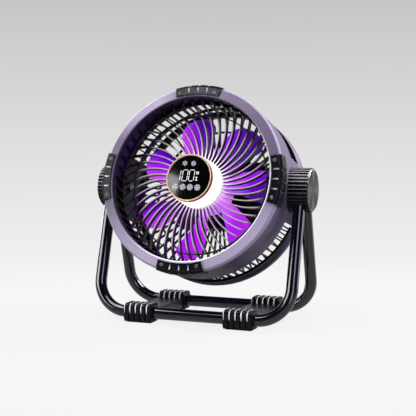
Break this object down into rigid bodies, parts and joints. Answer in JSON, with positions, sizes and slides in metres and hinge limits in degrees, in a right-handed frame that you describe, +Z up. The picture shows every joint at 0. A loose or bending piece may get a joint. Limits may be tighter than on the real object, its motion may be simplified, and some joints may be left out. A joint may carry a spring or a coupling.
{
  "type": "portable camping fan",
  "caption": "Portable round fan with curved front ribs, a lit hub and display, and a rear battery pod, tilting between two bent-tube frames with ribbed feet.",
  "frame": {"origin": "on the ground, straight below the tilt axis, midway between the four feet", "axes": "+Z up, +X along the tilt axis towards the right-hand knob as seen from the front, -Y towards the viewer that the fan faces"},
  "size_m": [0.308, 0.1903, 0.3216],
  "materials": {
    "mauve_shell": "satin moulded shell, mauve",
    "purple_duct": "satin moulded duct wall, deep purple",
    "black_grille": "moulded black, light satin",
    "pad_rubber": "black rubbery bumper, semi-matte",
    "pad_strip": "silvery reflective strips",
    "screw_steel": "zinc-plated steel",
    "lamp_white": "milky lamp cone, lit from inside",
    "display_glass": "black glass with a lit display behind",
    "rose_gold": "polished rose gold",
    "inner_plastic": "black moulding inside the head",
    "circuit_board": "green lacquered circuit board",
    "motor_casting": "die-cast motor base",
    "motor_steel": "laminated and drawn motor steel",
    "motor_magnet": "ferrite magnet ring",
    "motor_copper": "lacquered copper windings",
    "bearing_steel": "ground bearing steel",
    "pod_plastic": "black moulded battery pod, fine texture",
    "cell_sleeve": "blue plastic-sleeved battery cells",
    "port_metal": "bright socket shell",
    "violet_blade": "glossy violet blades, lit magenta",
    "frame_paint": "gloss black powder coat on steel tube",
    "hub_plastic": "black ribbed moulding, satin",
    "foot_plastic": "black ribbed moulding, half gloss",
    "foot_rubber": "matt black rubber",
    "cap_metal": "dark metal turned in fine rings"
  },
  "bodies": {
    "stand": {"front_frame": "frame_paint", "rear_frame": "frame_paint", "hub_right": "hub_plastic", "hub_left": "hub_plastic", "friction_washers": "screw_steel", "foot_left": "foot_plastic", "foot_right": "foot_plastic", "foot_clamps": "foot_plastic", "foot_screws": "screw_steel", "rubber_feet": "foot_rubber"},
    "head": {"front_rim": "mauve_shell", "drum_shell": "mauve_shell", "rear_ring": "mauve_shell", "duct_wall": "purple_duct", "duct_band": "black_grille", "duct_fins": "black_grille", "front_grille": "black_grille", "vent_basket": "black_grille", "rear_grille": "black_grille", "pad_top": "pad_rubber", "pad_right": "pad_rubber", "pad_bottom": "pad_rubber", "pad_left": "pad_rubber", "pad_screws": "screw_steel", "pad_inlays": "pad_strip", "led_board": "circuit_board", "lamp_diffuser": "lamp_white", "display_carrier": "inner_plastic", "display_board": "circuit_board", "display_bezel": "rose_gold", "display_lens": "display_glass", "pivot_bolt_right": "screw_steel", "pivot_bolt_left": "screw_steel", "motor_base": "motor_casting", "motor_cover": "black_grille", "stator_core": "motor_steel", "stator_coils": "motor_copper", "bearing_front": "bearing_steel", "bearing_rear": "bearing_steel", "pod_shell": "pod_plastic", "pod_cover": "pod_plastic", "battery_tray": "inner_plastic", "battery_cells": "cell_sleeve", "control_board": "circuit_board", "charge_port": "port_metal", "pod_screws": "screw_steel"},
    "fan": {"impeller": "violet_blade", "rotor_can": "motor_steel", "rotor_magnets": "motor_magnet", "rotor_shaft": "bearing_steel", "spinner_nut": "screw_steel"},
    "right_knob": {"clamp_knob_right": "hub_plastic", "knob_cap_right": "cap_metal"},
    "left_knob": {"clamp_knob_left": "hub_plastic", "knob_cap_left": "cap_metal"},
    "socket_flap": {"port_flap": "pad_rubber"}
  },
  "joints": [
    {"name": "head_tilt", "type": "hinge", "parent": "stand", "child": "head", "pos_m": [0, 0, 0.1815], "axis": [-1, 0, 0], "range_deg": [-105.8, 164.2]},
    {"name": "fan_spin", "type": "hinge", "parent": "head", "child": "fan", "pos_m": [0, 0, 0.1815], "axis": [0, -0.9622, 0.2723], "continuous": true},
    {"name": "right_knob_turn", "type": "hinge", "parent": "stand", "child": "right_knob", "pos_m": [0.1515, 0, 0.1815], "axis": [1, 0, 0], "range_deg": [0, 270]},
    {"name": "left_knob_turn", "type": "hinge", "parent": "stand", "child": "left_knob", "pos_m": [-0.1515, 0, 0.1815], "axis": [-1, 0, 0], "range_deg": [0, 270]},
    {"name": "socket_flap_swing", "type": "hinge", "parent": "head", "child": "socket_flap", "pos_m": [0.065, 0.05974, 0.15316], "axis": [0, -0.2723, -0.9622], "range_deg": [0, 100]}
  ]
}
